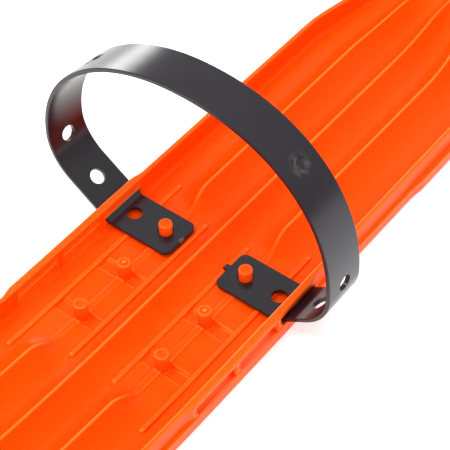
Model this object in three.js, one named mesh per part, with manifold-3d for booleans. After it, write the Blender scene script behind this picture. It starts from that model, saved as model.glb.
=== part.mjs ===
// Child's moulded plastic mini ski with a one-piece plastic strap binding, millimetres.
// X runs to the tip, Y to the left, Z up from the running base.
// The origin lies on the running base, in the middle of the ski's length and width.
import * as THREE from 'three';
import { mergeVertices } from 'three/addons/utils/BufferGeometryUtils.js';
import Module from 'manifold-3d';

// ski outline
const HALF_LENGTH = 220;
const BASE_HALF = 52.5; // half width at the running base
const TIP_TAPER_X = 133; // the outline starts to narrow here
const TAIL_TAPER_X = -180;
const TIP_LIFT = { x: 137, radius: 140, slope: THREE.MathUtils.degToRad(26) };
const TAIL_LIFT = { x: -70, radius: 877, slope: THREE.MathUtils.degToRad(12) };

// deck, heights above the running base
const WALL = 2.5;
const CREST = 12.1;
const SUPPORT = 3.7; // plane that carries the strap tabs in the binding zone
const RIDGE_Y = 22.5;
const RIDGE_HALF = 1;
const TROUGH_Y = 11.2;
const OUTER_TROUGH_Y = 35;
const DECK_Y = [0, 1, 2.8, 5.2, 11.2, 17.2, 19.6, 21.5, 23.5, 25.6, 28.6, 35, 44.8];

// side rails
const RAIL_IN = 47.4;
const RAIL_OUT = 50;
const RAIL_TOP = 14;
const RAIL_BULGE = 1.3; // how much thicker the rails are round the slots
const RIM_INSET = 5.5;
const END_DROP = 4.5; // how much lower the rim runs round the tip and the tail

// binding zone
const STATIONS_X = [-15, -43.7, -72.4];
const PEG_Y = 22.5;
const PEG = { radius: 3.15, top: 11.4, chamfer: 0.8 };
const CHANNEL = { half: 2.85, y0: 13.2, y1: 35.6, floor: 1.6 };
const RIBS = [
  { y: 11.7, x0: -92, x1: 1 },
  { y: 36.8, x0: -104, x1: 13 },
];
const RIB_HALF = 1.1;
const SLOT_LENGTH = 25;
const SLOT_SECTION = [[42, 3.3], [47.2, 3.3], [56, 9.5], [56, 13], [47.2, 8.2], [42, 8.2]];

// strap
const STRAP_X = -15;
const STRAP_WIDTH = 22;
const STRAP_THICK = 2;
const TAB = { y0: 13.3, y1: 45.3, z: 5, corner: 3.5 };
const BEND = { y: 45.6, radius: 3, angle: THREE.MathUtils.degToRad(35.3) };
const BEND_STEPS = 5;
// the loop rests a little to the left: each side is a round shoulder and a quarter of an oval
const CROWN_Y = 1.5;
const LEFT = { side: 1, y: 53, z: 41.4, radius: 26, rise: 67.5, power: 2 };
const RIGHT = { side: -1, y: 47.5, z: 36.3, radius: 25, rise: 72.6, power: 2.2 };
const TILT = { angle: THREE.MathUtils.degToRad(5), z0: 15, z1: 108.9 }; // rear edge outwards
const RUN_END_Y = 54;
const ARCH_START_Y = 54.3;
const CUT_TOP = 30; // the cuts between arch and slot runs are upright and stay below this
const HOLE_R = 3.7;
const TAB_HOLES_Y = [22.5, 40.85];
const ARCH_HOLES = [43.5, 69]; // along the strap from the peg hole

const ORANGE = { color: 0xff5208, roughness: 0.42, metalness: 0 };
const CHARCOAL = { color: 0x3a363c, roughness: 0.48, metalness: 0 };

const wasm = await Module();
wasm.setup();

function toSolid(geometry) {
  const bare = geometry.clone();
  bare.deleteAttribute('normal');
  bare.deleteAttribute('uv');
  const merged = mergeVertices(bare, 1e-4);
  return new wasm.Manifold(new wasm.Mesh({
    numProp: 3,
    vertProperties: Float32Array.from(merged.attributes.position.array),
    triVerts: Uint32Array.from(merged.index.array),
  }));
}

function toGeometry(solid) {
  const mesh = solid.getMesh();
  const geometry = new THREE.BufferGeometry();
  geometry.setAttribute('position', new THREE.BufferAttribute(mesh.vertProperties, 3));
  geometry.setIndex(new THREE.BufferAttribute(mesh.triVerts, 1));
  return geometry;
}

function toMesh(solid, name, finish) {
  const geometry = toGeometry(solid).toNonIndexed();
  geometry.computeVertexNormals();
  const mesh = new THREE.Mesh(geometry, new THREE.MeshStandardMaterial(finish));
  mesh.name = name;
  return mesh;
}

// closed body through rings of [x, y, z] points; each end is a fan round a middle point
function loft(rings, middle) {
  const count = rings[0].length;
  const index = [];
  for (let i = 0; i + 1 < rings.length; i += 1) {
    for (let j = 0; j < count; j += 1) {
      const a = i * count + j;
      const b = i * count + ((j + 1) % count);
      index.push(a, b, b + count, a, b + count, a + count);
    }
  }
  const start = (rings.length - 1) * count;
  const first = rings.length * count;
  for (let j = 0; j < count; j += 1) {
    const next = (j + 1) % count;
    index.push(next, j, first, start + j, start + next, first + 1);
  }
  const positions = [...rings.flat(2), ...middle(rings[0]), ...middle(rings.at(-1))];
  const geometry = new THREE.BufferGeometry();
  geometry.setAttribute('position', new THREE.Float32BufferAttribute(positions, 3));
  geometry.setIndex(index);
  return toSolid(geometry);
}

function mirrored(solid) {
  return solid.mirror([0, 1, 0]);
}

const smooth = THREE.MathUtils.smoothstep;

// half width of the outline, or of the line that lies inset from it
function outline(x, half, inset, least) {
  let part = 1;
  if (x > TIP_TAPER_X) {
    const t = (x - TIP_TAPER_X) / (HALF_LENGTH - TIP_TAPER_X - inset);
    part = Math.sqrt(Math.max(0, 1 - t ** 1.4));
  }
  if (x < TAIL_TAPER_X) {
    const t = (TAIL_TAPER_X - x) / (HALF_LENGTH + TAIL_TAPER_X - inset);
    part = Math.sqrt(Math.max(0, 1 - t ** 3));
  }
  return Math.max(least, half * part);
}

// widths across the ski, squeezed to the outline at this station
function across(x, y) {
  const inner = outline(x, RAIL_IN, RIM_INSET, 2);
  const outer = outline(x, BASE_HALF, 0, 3.5);
  if (y <= RAIL_IN) return (y * inner) / RAIL_IN;
  return inner + ((y - RAIL_IN) / (BASE_HALF - RAIL_IN)) * (outer - inner);
}

function rise(distance, curve) {
  if (distance <= 0) return 0;
  const run = curve.radius * Math.sin(curve.slope);
  if (distance < run) return curve.radius - Math.sqrt(curve.radius ** 2 - distance ** 2);
  return curve.radius * (1 - Math.cos(curve.slope)) + (distance - run) * Math.tan(curve.slope);
}

function lift(x) {
  return rise(x - TIP_LIFT.x, TIP_LIFT) + rise(TAIL_LIFT.x - x, TAIL_LIFT);
}

// 1 along the ski, 0 where the ridges have faded into the ends
function ridgeFade(x) {
  return smooth(x, -208, -186) * (1 - smooth(x, 168, 206));
}

function railTop(x) {
  return RAIL_TOP - END_DROP * (smooth(-x, 190, 214) + smooth(x, 140, 212));
}

// 1 inside the solid rim that closes the deck at both ends
function rimFill(x) {
  const end = HALF_LENGTH - RIM_INSET;
  return smooth(Math.abs(x), end - 2, end);
}

function sideCrest(x) {
  const inZone = smooth(x, -105, -87.5) * (1 - smooth(x, 0, 14));
  return CREST + (SUPPORT - CREST) * inZone;
}

function deckHeight(x, y) {
  const centre = WALL + (CREST - WALL) * ridgeFade(x);
  const side = WALL + (sideCrest(x) - WALL) * ridgeFade(x);
  const near = (d, reach) => Math.max(0, 1 - Math.max(0, d - RIDGE_HALF) / (reach - RIDGE_HALF)) ** 2;
  if (y < TROUGH_Y) return WALL + (centre - WALL) * near(y, TROUGH_Y);
  const reach = y < RIDGE_Y ? RIDGE_Y - TROUGH_Y : OUTER_TROUGH_Y - RIDGE_Y;
  return WALL + (side - WALL) * near(Math.abs(y - RIDGE_Y), reach);
}

// half section from the centre line out over the deck, up the rail and down to the base
function halfSection(x) {
  const top = railTop(x);
  const filled = (z) => z + (top - z) * rimFill(x);
  const points = DECK_Y.map((y) => [y, filled(deckHeight(x, y))]);
  const out = RAIL_BULGE * smooth(x, -96, -84) * (1 - smooth(x, -8, 4));
  points.push([RAIL_IN - 0.9, filled(WALL + 0.8)], [RAIL_IN, filled(WALL + 2.6)]);
  points.push([RAIL_IN + 0.1, top - 0.6 * (1 - rimFill(x))], [RAIL_IN + 0.7, top]);
  points.push([RAIL_OUT - 0.6 + out, top], [RAIL_OUT + out, top - 0.6]);
  points.push([RAIL_OUT + 0.3 + out, top * 0.8], [BASE_HALF, top * 0.16], [BASE_HALF, top * 0.08]);
  points.push([BASE_HALF - 1, 0]);
  return points;
}

function shellRing(x) {
  const half = halfSection(x).map(([y, z]) => [across(x, y), z + lift(x)]);
  const other = half.slice(1).reverse().map(([y, z]) => [-y, z]);
  return [...other, ...half].reverse().map(([y, z]) => [x, y, z]);
}

function shellStations() {
  const even = (from, to, count) => Array.from({ length: count }, (_, i) => (
    from + ((to - from) * i) / count
  ));
  const closing = (from, to, count) => Array.from({ length: count }, (_, i) => (
    from + (to - from) * Math.sin((Math.PI / 2) * ((i + 1) / count))
  ));
  const rim = [HALF_LENGTH - RIM_INSET - 2, HALF_LENGTH - RIM_INSET - 1, HALF_LENGTH - RIM_INSET];
  const stations = [
    ...closing(TAIL_TAPER_X, -HALF_LENGTH, 11), ...rim.map((x) => -x), ...even(TAIL_TAPER_X, -105, 6),
    ...even(-105, -84, 6), -84, -70, ...even(-8, 14, 6), 14,
    TIP_TAPER_X, ...closing(TIP_TAPER_X, HALF_LENGTH, 18), ...rim,
  ];
  return stations.sort((a, b) => a - b);
}

function box(x0, x1, y0, y1, z0, z1) {
  return wasm.Manifold.cube([x1 - x0, y1 - y0, z1 - z0]).translate([x0, y0, z0]);
}

// bar lying along X with round ends
function capsule({ y, x0, x1 }) {
  const shape = new THREE.Shape();
  shape.absarc(x1 - RIB_HALF, y, RIB_HALF, -Math.PI / 2, Math.PI / 2, false);
  shape.absarc(x0 + RIB_HALF, y, RIB_HALF, Math.PI / 2, Math.PI * 1.5, false);
  const options = { depth: SUPPORT - 1.5, bevelEnabled: false, curveSegments: 5 };
  return toSolid(new THREE.ExtrudeGeometry(shape, options)).translate([0, 0, 1.5]);
}

function peg(x) {
  const { radius, top, chamfer } = PEG;
  const shank = wasm.Manifold.cylinder(top - chamfer - 1, radius, radius, 28).translate([x, PEG_Y, 1]);
  const crown = wasm.Manifold.cylinder(chamfer, radius, radius - chamfer, 28);
  return shank.add(crown.translate([x, PEG_Y, top - chamfer]));
}

function slotCutter(x) {
  const shape = new THREE.Shape(SLOT_SECTION.map(([y, z]) => new THREE.Vector2(y, z)));
  const geometry = new THREE.ExtrudeGeometry(shape, { depth: SLOT_LENGTH, bevelEnabled: false });
  const alongX = new THREE.Matrix4().set(0, 0, 1, 0, 1, 0, 0, 0, 0, 1, 0, 0, 0, 0, 0, 1);
  return toSolid(geometry.applyMatrix4(alongX)).translate([x - SLOT_LENGTH / 2, 0, 0]);
}

function skiShell() {
  let solid = loft(shellStations().map(shellRing), ([[x]]) => [x, 0, lift(x) + WALL / 2]);
  const { half, y0, y1, floor } = CHANNEL;
  for (const x of STATIONS_X) {
    const cuts = slotCutter(x).add(box(x - half, x + half, y0, y1, floor, SUPPORT + 1));
    solid = solid.subtract(cuts).subtract(mirrored(cuts));
  }
  for (const rib of RIBS) {
    const bar = capsule(rib);
    solid = solid.add(bar).add(mirrored(bar));
  }
  for (const x of STATIONS_X) {
    const pin = peg(x);
    solid = solid.add(pin).add(mirrored(pin));
  }
  return solid;
}

// middle line of one side of the strap, from the bend at the rail to the crown
function strapLine({ side, y, z, radius, rise, power }) {
  const points = [];
  for (let i = 0; i <= BEND_STEPS; i += 1) {
    const a = (BEND.angle * i) / BEND_STEPS;
    points.push([BEND.y + BEND.radius * Math.sin(a), TAB.z + BEND.radius * (1 - Math.cos(a))]);
  }
  for (let i = 0; i <= 10; i += 1) {
    const a = (Math.PI / 2 - BEND.angle) * (i / 10 - 1);
    points.push([y + radius * Math.cos(a), z + radius * Math.sin(a)]);
  }
  const crown = side * CROWN_Y;
  for (let i = 1; i <= 18; i += 1) {
    const a = (Math.PI / 2) * (i / 18);
    const out = Math.cos(a) ** (2 / power);
    points.push([crown + (y + radius - crown) * out, z + rise * Math.sin(a) ** (2 / power)]);
  }
  return points.map(([u, v]) => [side * u, v]);
}

function strapRing([y, z], [ty, tz]) {
  const tilt = TILT.angle * smooth(z, TILT.z0, TILT.z1);
  const corner = (along, out) => {
    const x = along * Math.cos(tilt) + out * Math.sin(tilt);
    const normal = out * Math.cos(tilt) - along * Math.sin(tilt);
    return [STRAP_X + x, y + normal * tz, z - normal * ty];
  };
  const w = STRAP_WIDTH / 2;
  const h = STRAP_THICK / 2;
  return [corner(-w, -h), corner(w, -h), corner(w, h), corner(-w, h)];
}

function ribbon(line) {
  const rings = line.map((point, i) => {
    const a = line[Math.max(0, i - 1)];
    const b = line[Math.min(line.length - 1, i + 1)];
    const length = Math.hypot(b[0] - a[0], b[1] - a[1]);
    return strapRing(point, [(b[0] - a[0]) / length, (b[1] - a[1]) / length]);
  });
  return loft(rings, (ring) => ring[0].map((value, k) => (value + ring[2][k]) / 2));
}

// point and slope at a distance along one side of the strap, measured from the peg hole
function alongStrap(profile, distance) {
  const line = [[profile.side * PEG_Y, TAB.z], ...strapLine(profile)];
  let left = distance;
  for (let i = 0; i + 1 < line.length; i += 1) {
    const dy = line[i + 1][0] - line[i][0];
    const dz = line[i + 1][1] - line[i][1];
    const length = Math.hypot(dy, dz);
    if (left <= length) {
      const t = left / length;
      return { y: line[i][0] + t * dy, z: line[i][1] + t * dz, angle: Math.atan2(dz, dy) };
    }
    left -= length;
  }
  throw new Error('distance runs past the crown');
}

function strapHole(profile, distance) {
  const { y, z, angle } = alongStrap(profile, distance);
  const drill = wasm.Manifold.cylinder(10, HOLE_R, HOLE_R, 32, true);
  return drill.rotate([THREE.MathUtils.radToDeg(angle), 0, 0]).translate([STRAP_X, y, z]);
}

// the upright cuts let the arch lean about Y without meeting the runs
function strapArch() {
  const left = strapLine(LEFT).slice(BEND_STEPS);
  const right = strapLine(RIGHT).slice(BEND_STEPS, -1).reverse();
  const w = STRAP_WIDTH;
  const foot = box(STRAP_X - w, STRAP_X + w, BEND.y, ARCH_START_Y, 0, CUT_TOP);
  let solid = ribbon([...left, ...right]).subtract(foot).subtract(mirrored(foot));
  for (const profile of [LEFT, RIGHT]) {
    for (const distance of ARCH_HOLES) {
      solid = solid.subtract(strapHole(profile, distance));
    }
  }
  return solid;
}

function strapSlotRun() {
  const w = STRAP_WIDTH;
  const rest = box(STRAP_X - w, STRAP_X + w, RUN_END_Y, LEFT.y + LEFT.radius, 0, CUT_TOP);
  return ribbon(strapLine(LEFT).slice(0, BEND_STEPS + 2)).subtract(rest);
}

function strapTab() {
  const { y0, y1, z, corner } = TAB;
  const w = STRAP_WIDTH / 2;
  const shape = new THREE.Shape();
  shape.moveTo(w, y1);
  shape.lineTo(-w, y1);
  shape.lineTo(-w, y0 + corner);
  shape.absarc(-w + corner, y0 + corner, corner, Math.PI, Math.PI * 1.5, false);
  shape.absarc(w - corner, y0 + corner, corner, Math.PI * 1.5, Math.PI * 2, false);
  shape.closePath();
  for (const y of TAB_HOLES_Y) {
    const hole = new THREE.Path();
    hole.absarc(0, y, HOLE_R, 0, Math.PI * 2, true);
    shape.holes.push(hole);
  }
  const options = { depth: STRAP_THICK, bevelEnabled: false, curveSegments: 16 };
  return toSolid(new THREE.ExtrudeGeometry(shape, options)).translate([STRAP_X, 0, z - STRAP_THICK / 2]);
}

const ski = new THREE.Group();
ski.name = 'mini_ski';
ski.add(toMesh(skiShell(), 'ski_shell', ORANGE));
ski.add(toMesh(strapArch(), 'strap_arch', CHARCOAL));
ski.add(toMesh(strapSlotRun(), 'strap_slot_run_left', CHARCOAL));
ski.add(toMesh(mirrored(strapSlotRun()), 'strap_slot_run_right', CHARCOAL));
ski.add(toMesh(strapTab(), 'strap_tab_left', CHARCOAL));
ski.add(toMesh(mirrored(strapTab()), 'strap_tab_right', CHARCOAL));

export default ski;
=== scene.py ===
"""Child's moulded plastic mini ski with a one-piece strap binding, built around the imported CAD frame.

X runs to the tip, Y to the left and Z up from the running base. Shape functions work in millimetres, and
mesh_object turns their points into metres.
"""

import math

import bmesh
import bpy
from mathutils import Matrix, Vector


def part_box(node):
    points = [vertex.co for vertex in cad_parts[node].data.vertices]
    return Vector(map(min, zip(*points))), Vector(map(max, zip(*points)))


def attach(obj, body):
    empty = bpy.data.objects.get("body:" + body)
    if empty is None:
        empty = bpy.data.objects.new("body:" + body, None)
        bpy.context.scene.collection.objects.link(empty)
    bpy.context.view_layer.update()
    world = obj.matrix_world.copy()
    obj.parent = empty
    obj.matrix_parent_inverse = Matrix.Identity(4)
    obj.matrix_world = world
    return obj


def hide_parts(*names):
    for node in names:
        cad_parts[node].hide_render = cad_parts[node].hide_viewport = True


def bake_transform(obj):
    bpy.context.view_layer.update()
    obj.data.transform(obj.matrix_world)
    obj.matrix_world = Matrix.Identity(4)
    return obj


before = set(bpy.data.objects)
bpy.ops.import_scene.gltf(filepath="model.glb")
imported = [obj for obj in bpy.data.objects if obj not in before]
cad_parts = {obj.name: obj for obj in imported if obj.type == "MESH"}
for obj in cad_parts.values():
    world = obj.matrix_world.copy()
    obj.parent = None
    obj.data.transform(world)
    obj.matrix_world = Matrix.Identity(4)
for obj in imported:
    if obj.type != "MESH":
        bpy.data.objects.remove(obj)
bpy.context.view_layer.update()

MM = 0.001


def in_mm(corner):
    return [value / MM for value in corner]


_, SHELL_HIGH = map(in_mm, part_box("ski_shell"))
TAB_LOW, TAB_HIGH = map(in_mm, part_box("strap_tab_left"))

# ski outline and deck
HALF_LENGTH = SHELL_HIGH[0]
BASE_HALF = SHELL_HIGH[1] - 0.1
TIP_TAPER_X = HALF_LENGTH - 87
TAIL_TAPER_X = 40 - HALF_LENGTH
TIP_LIFT = (HALF_LENGTH - 83, 140, math.radians(26))
TAIL_LIFT = (150 - HALF_LENGTH, 877, math.radians(12))
WALL = 2.5
CREST = 12.1
CREST_HALF = 0.75
SUPPORT = 3.7
RIDGE_Y = 22.5
TROUGH_Y = 11.2
OUTER_TROUGH_Y = 35

# side rails
RAIL_IN = BASE_HALF - 5
RAIL_OUT = BASE_HALF - 2.4
RAIL_BULGE = 1.3
RAIL_TOP = 14
RAIL_ROUND = 0.9
RAIL_FLARE = 1.2
BASE_ROUND = 0.9
INNER_ROUND = 2.4
RIM_INSET = 5.5
NOSE_HALF_IN = 2
NOSE_HALF_OUT = 3.5
END_DROP = 4.5
LEDGE_Z = 6.2
FOOT_STEP = 0.9

# binding zone
STRAP_X = (TAB_LOW[0] + TAB_HIGH[0]) / 2
PITCH = 28.7
STATIONS_X = [STRAP_X - PITCH * step for step in range(3)]
PEG_Y = 22.5
PEG_RADIUS = 3.15
PEG_TOP = 11.4
CHANNEL_HALF = 2.85
CHANNEL_Y = (13.2, 35.6)
CHANNEL_FLOOR = 1.6
RIB_HALF = 1.1
RIBS = [(11.7, STRAP_X - 77, STRAP_X + 16), (36.8, STRAP_X - 89, STRAP_X + 28)]
SLOT_LENGTH = 25
SLOT_SECTION = [(42, 3.3), (47.2, 3.3), (56, 9.5), (56, 13), (47.2, 8.2), (42, 8.2)]

# strap
STRAP_WIDTH = TAB_HIGH[0] - TAB_LOW[0]
STRAP_THICK = TAB_HIGH[2] - TAB_LOW[2]
TAB_Z = (TAB_HIGH[2] + TAB_LOW[2]) / 2
TAB_END_Y = TAB_LOW[1]
TAB_CORNER = 3.5
BEND_Y = 45.6
BEND_RADIUS = 3
BEND_ANGLE = math.radians(35.3)
CROWN_Y = 1.5
CROWN_Z = 108.9
LEFT = {"side": 1, "y": 53, "z": 41.4, "radius": 26, "power": 2}
RIGHT = {"side": -1, "y": 47.5, "z": 36.3, "radius": 25, "power": 2.2}
CROWN_TILT = math.radians(5)
HOLE_RADIUS = 3.7
ARCH_EDGE = 0.3
TAB_EDGE = 0.25
ARCH_STEP = 0.8
TAB_HOLES_Y = [22.5, 40.85]
ARCH_HOLES = [43.5, 69]
GATE_MARKS = [(55, 90), (-51, 93.5)]

# plastics
ORANGE = ((1.0, 0.06, 0.0), (1.0, 0.074, 0.0))
# painted highlight: the lighter orange mixed onto crests and rims
ORANGE_PAINTED_HIGHLIGHT = (1.0, 0.2, 0.025)
CHARCOAL = ((0.006, 0.004, 0.008), (0.012, 0.009, 0.014))
SCAR = (0.07, 0.068, 0.062)
TORN = (0.4, 0.3, 0.27)


# ---------------------------------------------------------------- helpers


def smooth(value, low, high):
    t = min(1, max(0, (value - low) / (high - low)))
    return t * t * (3 - 2 * t)


def mix(a, b, t):
    return a + (b - a) * t


def spread(start, end, count):
    return [start + (end - start) * i / count for i in range(count)]


def closing(start, end, count):
    """Places that crowd towards the end, where an outline turns in."""
    return [start + (end - start) * math.sin(math.pi / 2 * (i + 1) / count) for i in range(count)]


def mesh_object(name, points, faces):
    mesh = bpy.data.meshes.new(name)
    mesh.from_pydata([Vector(point) * MM for point in points], [], faces)
    obj = bpy.data.objects.new(name, mesh)
    bpy.context.collection.objects.link(obj)
    tidy_normals(obj)
    return obj


def tidy_normals(obj):
    bm = bmesh.new()
    bm.from_mesh(obj.data)
    bmesh.ops.recalc_face_normals(bm, faces=bm.faces)
    bm.to_mesh(obj.data)
    bm.free()


def tube(rings, closed_ends=True):
    """Points and faces of a body through rings of the same number of points."""
    count = len(rings[0])
    points = [point for ring in rings for point in ring]
    faces = []
    for i in range(len(rings) - 1):
        for j in range(count):
            a = i * count + j
            b = i * count + (j + 1) % count
            faces.append((a, b, b + count, a + count))
    if closed_ends:
        for start in (0, (len(rings) - 1) * count):
            ring = points[start:start + count]
            middle = [sum(values) / count for values in zip(*ring)]
            points.append(middle)
            hub = len(points) - 1
            faces.extend((start + j, start + (j + 1) % count, hub) for j in range(count))
    return points, faces


def cut(obj, cutter):
    modifier = obj.modifiers.new("cut", "BOOLEAN")
    modifier.operation = "DIFFERENCE"
    modifier.solver = "EXACT"
    modifier.object = cutter
    bpy.context.view_layer.objects.active = obj
    bpy.ops.object.modifier_apply(modifier=modifier.name)
    bpy.data.objects.remove(cutter)


def joined(objects, name):
    bpy.ops.object.select_all(action="DESELECT")
    for obj in objects:
        obj.select_set(True)
    bpy.context.view_layer.objects.active = objects[0]
    bpy.ops.object.join()
    objects[0].name = name
    return objects[0]


def finish_shading(obj, angle=32):
    obj.data.shade_smooth()
    obj.data.set_sharp_from_angle(angle=math.radians(angle))


def prism(section, low_x, high_x, side=1):
    """A bar along X with the given Y, Z section."""
    rings = [[(x, side * y, z) for y, z in section] for x in (low_x, high_x)]
    return mesh_object("cutter", *tube(rings))


# ---------------------------------------------------------------- ski shell


def outline(x, half, inset, least):
    """Half width of the outline, or of a line that lies inset from it."""
    part = 1
    if x > TIP_TAPER_X:
        t = (x - TIP_TAPER_X) / (HALF_LENGTH - TIP_TAPER_X - inset)
        part = math.sqrt(max(0, 1 - t ** 1.4))
    if x < TAIL_TAPER_X:
        t = (TAIL_TAPER_X - x) / (HALF_LENGTH + TAIL_TAPER_X - inset)
        part = math.sqrt(max(0, 1 - t ** 3))
    return max(least, half * part)


def across(x, y):
    """A width across the ski, squeezed to the outline at this station."""
    inner = outline(x, RAIL_IN, RIM_INSET, NOSE_HALF_IN)
    outer = outline(x, BASE_HALF, 0, NOSE_HALF_OUT)
    if y <= RAIL_IN:
        return y * inner / RAIL_IN
    return inner + (y - RAIL_IN) / (BASE_HALF - RAIL_IN) * (outer - inner)


def rise(distance, curve):
    """Height gained along an arc that runs on as a straight slope."""
    _, radius, slope = curve
    if distance <= 0:
        return 0
    run = radius * math.sin(slope)
    if distance < run:
        return radius - math.sqrt(radius ** 2 - distance ** 2)
    return radius * (1 - math.cos(slope)) + (distance - run) * math.tan(slope)


def lift(x):
    return rise(x - TIP_LIFT[0], TIP_LIFT) + rise(TAIL_LIFT[0] - x, TAIL_LIFT)


def ridge_fade(x):
    """1 along the ski, 0 where the ridges have faded into the ends."""
    tip = 1 - smooth(x, HALF_LENGTH - 52, HALF_LENGTH - 14)
    return smooth(x, 12 - HALF_LENGTH, 34 - HALF_LENGTH) * tip


def rail_top(x):
    """Height of the rails, which drop a little towards both ends."""
    return RAIL_TOP - END_DROP * (smooth(-x, 190, 214) + smooth(x, 140, 212))


def rim_fill(x):
    """1 inside the solid rim that closes the deck at both ends."""
    end = HALF_LENGTH - RIM_INSET
    return smooth(abs(x), end - 2, end)


def in_zone(x):
    """1 in the binding zone, where the side ridges sink to low strips."""
    return smooth(x, STRAP_X - 90, STRAP_X - 72.5) * (1 - smooth(x, STRAP_X + 15, STRAP_X + 29))


def scallop(distance, reach, half_crest):
    """1 on a ridge's crest, falling in a hollow curve to 0 in the trough."""
    if distance < half_crest:
        return 1 - 0.09 * (distance / half_crest) ** 2
    t = min(1, (distance - half_crest) / (reach - half_crest))
    return 0.91 * (1 - t) ** 2


def rib_height(x, y, height):
    for rib_y, low_x, high_x in RIBS:
        along = min(high_x - RIB_HALF, max(low_x + RIB_HALF, x))
        distance = math.hypot(x - along, y - rib_y) - RIB_HALF
        height = max(height, mix(height, SUPPORT, smooth(-distance, -0.4, 0.3)))
        for end in (low_x - 2.6, high_x + 2.6):
            height += 0.25 * smooth(-math.hypot(x - end, y - rib_y), -1.5, -1.1)
    return height


def channel_depth(x, y, height):
    nearest = min(abs(x - station) for station in STATIONS_X)
    inside = smooth(CHANNEL_HALF - nearest, -0.5, 0.6)
    inside *= smooth(y - CHANNEL_Y[0], -0.4, 0.5) * smooth(CHANNEL_Y[1] - y, -0.4, 0.5)
    return mix(height, CHANNEL_FLOOR, inside)


def deck_height(x, y):
    fade = ridge_fade(x)
    zone = in_zone(x)
    if y < TROUGH_Y:
        height = WALL + (CREST - WALL) * fade * scallop(y, TROUGH_Y, CREST_HALF)
    else:
        distance = abs(y - RIDGE_Y)
        reach = RIDGE_Y - TROUGH_Y if y < RIDGE_Y else OUTER_TROUGH_Y - RIDGE_Y
        full = (CREST - WALL) * scallop(distance, reach, CREST_HALF)
        profile = 0.35 * scallop(distance, reach, 1.8) + 0.65 * smooth(-distance, -2.2, -1.5)
        strip = (SUPPORT - WALL) * profile
        height = WALL + fade * mix(full, strip, zone)
    if zone > 0:
        height = rib_height(x, y, channel_depth(x, y, height))
    return height


def pad(x):
    """1 where the rail carries the strap slots and stands a little wider."""
    return smooth(x, STRAP_X - 77, STRAP_X - 70) * (1 - smooth(x, STRAP_X + 9, STRAP_X + 17))


def recess(x, z):
    """1 in the hollow round each strap slot."""
    nearest = min(abs(x - station) for station in STATIONS_X)
    dx = max(0, nearest - 11.6)
    dz = abs(z - 9.6)
    return smooth(-math.hypot(dx, dz), -2.9, -1.9)


def wall_y(x, z):
    """How far out the rail's outer face lies at height z."""
    upper = RAIL_OUT + RAIL_FLARE * (1 - z / RAIL_TOP) + RAIL_BULGE * pad(x)
    face = upper - 0.9 * recess(x, z) * pad(x)
    foot = smooth(LEDGE_Z - z, -0.25, 0.35)
    step = smooth(x, STRAP_X + 88, STRAP_X + 94) * (1 - smooth(x, TIP_TAPER_X, TIP_TAPER_X + 50))
    return mix(face, BASE_HALF + FOOT_STEP * step, foot)


def deck_places():
    """Places across half the deck, closer together at crests and ribs."""
    places = [0]
    while places[-1] < RAIL_IN - 2.4:
        y = places[-1]
        detail = min(abs(y - edge) for edge in (0, 11.7, RIDGE_Y, 36.8, CHANNEL_Y[0], CHANNEL_Y[1]))
        places.append(y + (0.45 if detail < 2.6 else 0.95))
    return places


DECK_PLACES = deck_places()


def half_section(x):
    """From the centre line out over the deck, up the rail and down to the base."""
    top = rail_top(x)
    fill = rim_fill(x)
    points = [(y, mix(deck_height(x, y), top, fill)) for y in DECK_PLACES]
    for step in range(1, 6):
        angle = math.pi / 2 * step / 5
        foot = (RAIL_IN - 2 + 2 * math.sin(angle), WALL + INNER_ROUND * (1 - math.cos(angle)))
        points.append((foot[0], mix(foot[1], top, fill)))
    for part in (0.3, 0.6, 1):
        face = mix(WALL + INNER_ROUND, top - RAIL_ROUND, part)
        points.append((RAIL_IN + 0.15 * part, mix(face, top, fill)))
    for step in range(1, 6):
        angle = math.pi / 2 * step / 5
        y = RAIL_IN + 0.15 + RAIL_ROUND * (1 - math.cos(angle))
        points.append((y, top - RAIL_ROUND * (1 - math.sin(angle)) * (1 - fill)))
    out = wall_y(x, top)
    for step in range(6):
        angle = math.pi / 2 * step / 5
        points.append((out - RAIL_ROUND * (1 - math.sin(angle)), top - RAIL_ROUND * (1 - math.cos(angle))))
    for z in spread(top - RAIL_ROUND, BASE_ROUND, 26)[1:]:
        points.append((wall_y(x, z * RAIL_TOP / top), z))
    for step in range(5):
        angle = math.pi / 2 * step / 4
        y = wall_y(x, 0) - BASE_ROUND * (1 - math.cos(angle))
        points.append((y, BASE_ROUND * (1 - math.sin(angle))))
    points.append((BASE_HALF / 2, 0))
    return points


def shell_ring(x):
    half = [(across(x, y), z + lift(x)) for y, z in half_section(x)]
    other = [(-y, z) for y, z in reversed(half[1:])]
    return [(x, y, z) for y, z in other + half]


def shell_stations():
    low = STRAP_X - 95
    high = STRAP_X + 32
    rim = HALF_LENGTH - RIM_INSET
    stations = closing(TAIL_TAPER_X, -HALF_LENGTH, 26) + spread(TAIL_TAPER_X, low, 16)
    stations += spread(low, high, 180) + spread(high, TIP_TAPER_X, 26)
    stations += closing(TIP_TAPER_X, HALF_LENGTH, 52)
    stations += [rim - 2, rim - 1.5, rim - 1, rim - 0.5, rim, -rim, 0.5 - rim, 1 - rim, 1.5 - rim, 2 - rim]
    return sorted(stations)


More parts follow.
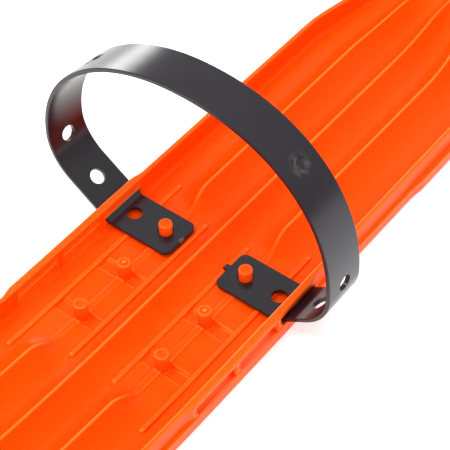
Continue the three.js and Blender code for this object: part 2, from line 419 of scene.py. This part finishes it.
def peg(x, side, style):
    """A lathe-turned peg; the style shapes the mark that its ejector pin leaves on top."""
    profile = [(PEG_RADIUS + 0.5, CHANNEL_FLOOR - 0.4), (PEG_RADIUS + 0.12, CHANNEL_FLOOR + 0.35)]
    profile += [(PEG_RADIUS, CHANNEL_FLOOR + 0.9), (PEG_RADIUS, PEG_TOP - 0.75)]
    for step in range(1, 6):
        angle = math.pi / 2 * step / 5
        profile.append((PEG_RADIUS - 0.7 * (1 - math.cos(angle)), PEG_TOP - 0.75 + 0.7 * math.sin(angle)))
    marks = {
        "plain": [(1.6, 0.0)],
        "nub": [(2.0, -0.02), (1.5, -0.4), (1.05, -0.35), (0.9, 0.1)],
        "dish": [(2.1, 0.0), (1.8, -0.12)],
    }
    profile += [(radius, PEG_TOP - 0.05 + dz) for radius, dz in marks[style]]
    rings = []
    for radius, z in profile:
        angles = [math.tau * i / 40 for i in range(40)]
        rings.append([(x + radius * math.cos(a), side * PEG_Y + radius * math.sin(a), z) for a in angles])
    return mesh_object("peg", *tube(rings))


def make_shell():
    shell = mesh_object("ski_moulding", *tube([shell_ring(x) for x in shell_stations()]))
    for x in STATIONS_X:
        for side in (1, -1):
            cut(shell, prism(SLOT_SECTION, x - SLOT_LENGTH / 2, x + SLOT_LENGTH / 2, side))
    pegs = []
    for x, style in zip(STATIONS_X, ("plain", "nub", "dish")):
        pegs += [peg(x, side, style) for side in (1, -1)]
    shell = joined([shell] + pegs, "ski_moulding")
    finish_shading(shell, 38)
    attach(shell, "ski")
    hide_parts("ski_shell")
    return shell


# ---------------------------------------------------------------- strap


def strap_line(profile):
    """The middle line of one side of the strap, from the bend beside the rail up to the crown."""
    side, radius = profile["side"], profile["radius"]
    points = []
    for step in range(10):
        angle = BEND_ANGLE * step / 9
        points.append((BEND_Y + BEND_RADIUS * math.sin(angle), TAB_Z + BEND_RADIUS * (1 - math.cos(angle))))
    for step in range(33):
        angle = (math.pi / 2 - BEND_ANGLE) * (step / 32 - 1)
        points.append((profile["y"] + radius * math.cos(angle), profile["z"] + radius * math.sin(angle)))
    crown = side * CROWN_Y
    reach = profile["y"] + radius - crown
    power = 2 / profile["power"]
    for step in range(1, 73):
        angle = math.pi / 2 * step / 72
        height = (CROWN_Z - profile["z"]) * math.sin(angle) ** power
        points.append((crown + reach * max(0, math.cos(angle)) ** power, profile["z"] + height))
    return [(side * y, z) for y, z in points]


def evenly(line, gap):
    """The same line with points at an even distance."""
    lengths = [0]
    for a, b in zip(line, line[1:]):
        lengths.append(lengths[-1] + math.dist(a, b))
    count = round(lengths[-1] / gap)
    result = []
    i = 0
    for step in range(count + 1):
        target = lengths[-1] * step / count
        while i < len(line) - 2 and lengths[i + 1] < target:
            i += 1
        t = (target - lengths[i]) / (lengths[i + 1] - lengths[i])
        result.append(tuple(mix(a, b, t) for a, b in zip(line[i], line[i + 1])))
    return result


def tangents(line):
    result = []
    for i in range(len(line)):
        a = line[max(0, i - 1)]
        b = line[min(len(line) - 1, i + 1)]
        length = math.dist(a, b)
        result.append(((b[0] - a[0]) / length, (b[1] - a[1]) / length))
    return result


def gate_mark(x, y, z):
    """Depth of the round mark that the moulding gate leaves high on each side of the arch."""
    depth = 0
    for mark_y, mark_z in GATE_MARKS:
        radius = math.dist((x - STRAP_X, y, z), (0, mark_y, mark_z))
        depth += 0.12 * smooth(radius, 3.8, 4.4) * (1 - smooth(radius, 4.4, 5.4))
        depth += 0.3 * (1 - smooth(radius, 0.8, 1.6)) - 0.7 * (1 - smooth(radius, 3, 4))
    return depth


def strap_ring(point, tangent):
    """The strap's section, with its rear edge tilted outwards more and more towards the crown."""
    y, z = point
    ty, tz = tangent
    tilt = CROWN_TILT * smooth(z, 15, CROWN_Z)
    half = STRAP_WIDTH / 2
    thick = STRAP_THICK / 2
    edge = ARCH_EDGE
    places = [-half + edge + (STRAP_WIDTH - 2 * edge) * i / 26 for i in range(27)]
    ring = [(x, thick + gate_mark(STRAP_X + x, y, z)) for x in places]
    ring.append((half, thick - edge))
    ring.append((half, edge - thick))
    ring.extend((x, -thick) for x in reversed(places))
    ring.append((-half, edge - thick))
    ring.append((-half, thick - edge))
    points = []
    for along, out in ring:
        x = STRAP_X + along * math.cos(tilt) + out * math.sin(tilt)
        normal = out * math.cos(tilt) - along * math.sin(tilt)
        points.append((x, y + tz * normal, z - ty * normal))
    return points


def along_strap(profile, distance):
    """Point and slope at a distance from the peg hole."""
    line = [(profile["side"] * PEG_Y, TAB_Z)] + strap_line(profile)
    for a, b in zip(line, line[1:]):
        length = math.dist(a, b)
        if distance <= length:
            t = distance / length
            return mix(a[0], b[0], t), mix(a[1], b[1], t), math.atan2(b[1] - a[1], b[0] - a[0])
        distance -= length
    raise ValueError("the distance runs past the crown")


def drill(y, z, angle):
    """A cylinder through the strap at a point of its middle line."""
    rings = []
    for reach in (-5, 5):
        ring = []
        for i in range(48):
            turn = math.tau * i / 48
            x = HOLE_RADIUS * math.cos(turn)
            v = HOLE_RADIUS * math.sin(turn)
            py = y + v * math.cos(angle) - reach * math.sin(angle)
            pz = z + v * math.sin(angle) + reach * math.cos(angle)
            ring.append((STRAP_X + x, py, pz))
        rings.append(ring)
    return mesh_object("drill", *tube(rings))


def make_band():
    line = evenly(strap_line(LEFT) + strap_line(RIGHT)[-2::-1], ARCH_STEP)
    rings = [strap_ring(point, tangent) for point, tangent in zip(line, tangents(line))]
    band = mesh_object("strap_band", *tube(rings))
    for profile in (LEFT, RIGHT):
        for distance in ARCH_HOLES:
            cut(band, drill(*along_strap(profile, distance)))
    finish_shading(band)
    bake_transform(band)
    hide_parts("strap_arch", "strap_slot_run_left", "strap_slot_run_right")
    return band


def tab_outline(grow, side):
    """Rounded corners at the free end, a straight cut where the strap runs on into the rail.

    The right end keeps the forked stub of its moulding runner; on the left it has torn away.
    """
    half = STRAP_WIDTH / 2 + grow
    end = TAB_END_Y - grow
    corner = TAB_CORNER
    stub = [(-1.5, 0), (-1.2, -2.4), (-0.4, -2.2), (0, -1.3), (0.5, -2.3), (1.1, -2.1), (1.4, 0)]
    torn = [(-1.7, 0), (-1, 0.45), (-0.5, -0.2), (0.1, 0.4), (0.7, -0.15), (1.5, 0.3), (1.9, 0)]
    points = [(half, BEND_Y), (-half, BEND_Y)]
    for step in range(9):
        turn = math.pi / 2 * step / 8
        points.append((-half + corner * (1 - math.cos(turn)), end + corner * (1 - math.sin(turn))))
    points += [(x, end + y) for x, y in (stub if side < 0 else torn)]
    for step in range(9):
        turn = math.pi / 2 * step / 8
        points.append((half - corner * (1 - math.sin(turn)), end + corner * (1 - math.cos(turn))))
    return points


def make_tab(side, body):
    name = body.replace("strap_tab", "strap_end")
    thick = STRAP_THICK / 2
    edge = TAB_EDGE
    rings = []
    for z, grow in ((-thick, -edge), (edge - thick, 0), (thick - edge, 0), (thick, -edge)):
        rings.append([(STRAP_X + x, side * y, TAB_Z + z) for x, y in tab_outline(grow, side)])
    points, faces = tube(rings, closed_ends=False)
    count = len(rings[0])
    faces.append(tuple(range(count)))
    faces.append(tuple(range(3 * count, 4 * count)))
    tab = mesh_object(name, points, faces)
    for y in TAB_HOLES_Y:
        cut(tab, drill(side * y, TAB_Z, 0))
    finish_shading(tab)
    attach(tab, body)
    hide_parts(body)
    return tab


# ---------------------------------------------------------------- materials


def new_material(name):
    material = bpy.data.materials.new(name)
    material.use_nodes = True
    tree = material.node_tree
    return material, tree, tree.nodes["Principled BSDF"]


def noise(tree, coordinates, scale, detail, stretch=(1, 1, 1)):
    mapping = tree.nodes.new("ShaderNodeMapping")
    mapping.inputs["Scale"].default_value = stretch
    tree.links.new(coordinates, mapping.inputs["Vector"])
    texture = tree.nodes.new("ShaderNodeTexNoise")
    texture.inputs["Scale"].default_value = scale
    texture.inputs["Detail"].default_value = detail
    tree.links.new(mapping.outputs["Vector"], texture.inputs["Vector"])
    return texture.outputs["Fac"]


def ramp(tree, value, low, high):
    """A noise value spread over the range from low to high."""
    node = tree.nodes.new("ShaderNodeMapRange")
    node.inputs["From Min"].default_value = 0.3
    node.inputs["From Max"].default_value = 0.7
    node.inputs["To Min"].default_value = low
    node.inputs["To Max"].default_value = high
    tree.links.new(value, node.inputs["Value"])
    return node.outputs["Result"]


def colour_mix(tree, value, first, second):
    node = tree.nodes.new("ShaderNodeMix")
    node.data_type = "RGBA"
    for name, colour in (("A", first), ("B", second)):
        if isinstance(colour, tuple):
            node.inputs[name].default_value = (*colour, 1)
        else:
            tree.links.new(colour, node.inputs[name])
    tree.links.new(value, node.inputs["Factor"])
    return node.outputs["Result"]


def bump(tree, value, strength, distance, under=None):
    node = tree.nodes.new("ShaderNodeBump")
    node.inputs["Strength"].default_value = strength
    node.inputs["Distance"].default_value = distance
    tree.links.new(value, node.inputs["Height"])
    if under:
        tree.links.new(under, node.inputs["Normal"])
    return node.outputs["Normal"]


def painted_crest_highlight(tree):
    """Painted highlight: 1 on crests and rims, found by pointiness, where the orange is mixed lighter to
    stand in for the light those sharp edges catch.
    """
    geometry = tree.nodes.new("ShaderNodeNewGeometry")
    node = tree.nodes.new("ShaderNodeMapRange")
    node.inputs["From Min"].default_value = 0.508
    node.inputs["From Max"].default_value = 0.55
    tree.links.new(geometry.outputs["Pointiness"], node.inputs["Value"])
    return node.outputs["Result"]


def ski_material():
    material, tree, shader = new_material("orange_polypropylene")
    place = tree.nodes.new("ShaderNodeTexCoord").outputs["Object"]
    cloud = noise(tree, place, 14, 3, (0.5, 1, 1))
    flow = noise(tree, place, 60, 4, (0.12, 1, 1))
    grain = noise(tree, place, 1400, 3)
    colour = colour_mix(tree, ramp(tree, cloud, 0, 1), *ORANGE)
    # painted highlight: crests and rims are mixed towards a lighter orange by pointiness
    colour = colour_mix(tree, painted_crest_highlight(tree), colour, ORANGE_PAINTED_HIGHLIGHT)
    tree.links.new(colour, shader.inputs["Base Color"])
    tree.links.new(ramp(tree, flow, 0.3, 0.42), shader.inputs["Roughness"])
    tree.links.new(bump(tree, grain, 0.08, 0.0002, bump(tree, flow, 0.06, 0.0006)), shader.inputs["Normal"])
    shader.inputs["IOR"].default_value = 1.49
    shader.inputs["Specular Tint"].default_value = (1.0, 0.4, 0.05, 1)
    shader.inputs["Subsurface Weight"].default_value = 0.3
    shader.inputs["Subsurface Radius"].default_value = (1.0, 0.2, 0.03)
    shader.inputs["Subsurface Scale"].default_value = 0.004
    return material


def around(tree, coordinates, place, near, far):
    """1 within the near distance of a place in millimetres, 0 beyond the far one."""
    distance = tree.nodes.new("ShaderNodeVectorMath")
    distance.operation = "DISTANCE"
    distance.inputs[1].default_value = Vector(place) * MM
    tree.links.new(coordinates, distance.inputs[0])
    node = tree.nodes.new("ShaderNodeMapRange")
    node.inputs["From Min"].default_value = near * MM
    node.inputs["From Max"].default_value = far * MM
    node.inputs["To Min"].default_value = 1
    node.inputs["To Max"].default_value = 0
    tree.links.new(distance.outputs["Value"], node.inputs["Value"])
    return node.outputs["Result"]


def product(tree, first, second):
    node = tree.nodes.new("ShaderNodeMath")
    node.operation = "MULTIPLY"
    tree.links.new(first, node.inputs[0])
    tree.links.new(second, node.inputs[1])
    return node.outputs["Value"]


def strap_material():
    material, tree, shader = new_material("charcoal_strap_plastic")
    place = tree.nodes.new("ShaderNodeTexCoord").outputs["Object"]
    cloud = noise(tree, place, 25, 3)
    grain = noise(tree, place, 1800, 3)
    swirl = ramp(tree, noise(tree, place, 420, 4, (1, 0.5, 0.5)), -0.6, 1)
    colour = colour_mix(tree, ramp(tree, cloud, 0, 1), *CHARCOAL)
    for mark_y, mark_z in GATE_MARKS:
        scar = product(tree, around(tree, place, (STRAP_X, mark_y, mark_z), 3.4, 6.5), swirl)
        colour = colour_mix(tree, scar, colour, SCAR)
    torn = around(tree, place, (STRAP_X, TAB_END_Y, TAB_Z), 1, 2)
    colour = colour_mix(tree, product(tree, torn, swirl), colour, TORN)
    tree.links.new(colour, shader.inputs["Base Color"])
    tree.links.new(ramp(tree, cloud, 0.2, 0.26), shader.inputs["Roughness"])
    tree.links.new(bump(tree, grain, 0.08, 0.0002), shader.inputs["Normal"])
    shader.inputs["IOR"].default_value = 1.45
    return material


def floor_material():
    material, tree, shader = new_material("pale_floor")
    place = tree.nodes.new("ShaderNodeTexCoord").outputs["Object"]
    colour = colour_mix(tree, noise(tree, place, 3, 2), (0.93, 0.93, 0.93), (0.95, 0.95, 0.95))
    tree.links.new(colour, shader.inputs["Base Color"])
    shader.inputs["Roughness"].default_value = 0.9
    shader.inputs["Specular IOR Level"].default_value = 0.1
    shader.inputs["Emission Color"].default_value = (1, 1, 1, 1)
    shader.inputs["Emission Strength"].default_value = 0.3
    return material


# ---------------------------------------------------------------- studio

CAMERA_AIM = Vector((7.9, 6.8, 0)) * MM
CAMERA_DISTANCE = 0.6734
CAMERA_AZIMUTH = math.radians(219.08)
CAMERA_ELEVATION = math.radians(47.92)
CAMERA_ROLL = math.radians(-1.76)
CAMERA_LENS = 118.1
FLOOR_HALF = 4
FLOOR_GAP = 0.0004


def make_camera():
    flat = math.cos(CAMERA_ELEVATION)
    across_floor = (flat * math.cos(CAMERA_AZIMUTH), flat * math.sin(CAMERA_AZIMUTH))
    direction = Vector((*across_floor, math.sin(CAMERA_ELEVATION)))
    data = bpy.data.cameras.new("camera")
    data.lens = CAMERA_LENS
    data.sensor_width = 36
    data.clip_end = 20
    camera = bpy.data.objects.new("camera", data)
    bpy.context.collection.objects.link(camera)
    turn = direction.to_track_quat("Z", "Y").to_matrix().to_4x4() @ Matrix.Rotation(CAMERA_ROLL, 4, "Z")
    camera.matrix_world = Matrix.Translation(CAMERA_AIM + direction * CAMERA_DISTANCE) @ turn
    bpy.context.scene.camera = camera


def area_light(name, place, power, size):
    data = bpy.data.lights.new(name, "AREA")
    data.energy = power
    data.size = size
    light = bpy.data.objects.new(name, data)
    light.location = place
    light.visible_camera = False
    light.rotation_euler = Vector(place).to_track_quat("Z", "Y").to_euler()
    bpy.context.collection.objects.link(light)


def make_sky():
    """Soft white surroundings, brighter overhead than at the horizon."""
    world = bpy.data.worlds.new("studio")
    world.use_nodes = True
    tree = world.node_tree
    split = tree.nodes.new("ShaderNodeSeparateXYZ")
    tree.links.new(tree.nodes.new("ShaderNodeTexCoord").outputs["Generated"], split.inputs["Vector"])
    node = tree.nodes.new("ShaderNodeMapRange")
    node.inputs["From Max"].default_value = 0.75
    node.inputs["To Min"].default_value = 0.45
    node.inputs["To Max"].default_value = 1.05
    tree.links.new(split.outputs["Z"], node.inputs["Value"])
    background = tree.nodes["Background"]
    background.inputs["Color"].default_value = (1, 1, 1, 1)
    tree.links.new(node.outputs["Result"], background.inputs["Strength"])
    bpy.context.scene.world = world


def make_studio():
    bpy.context.scene.view_settings.view_transform = "Standard"
    make_sky()
    area_light("key", (-0.35, 0.55, 1.45), 16, 0.9)
    area_light("fill", (-0.5, -1.15, 0.75), 7, 0.7)
    area_light("back", (0.98, 1.5, 0.22), 4.5, 0.42)
    signs = ((-1, -1), (1, -1), (1, 1), (-1, 1))
    corners = [(x * FLOOR_HALF, y * FLOOR_HALF, 0) for x, y in signs]
    floor = mesh_object("floor", [Vector(corner) / MM for corner in corners], [(0, 1, 2, 3)])
    floor.location.z = -FLOOR_GAP
    floor.data.materials.append(floor_material())


def main():
    make_camera()
    orange = ski_material()
    charcoal = strap_material()
    make_shell().data.materials.append(orange)
    make_band().data.materials.append(charcoal)
    for side, body in ((1, "strap_tab_left"), (-1, "strap_tab_right")):
        make_tab(side, body).data.materials.append(charcoal)
    make_studio()


main()
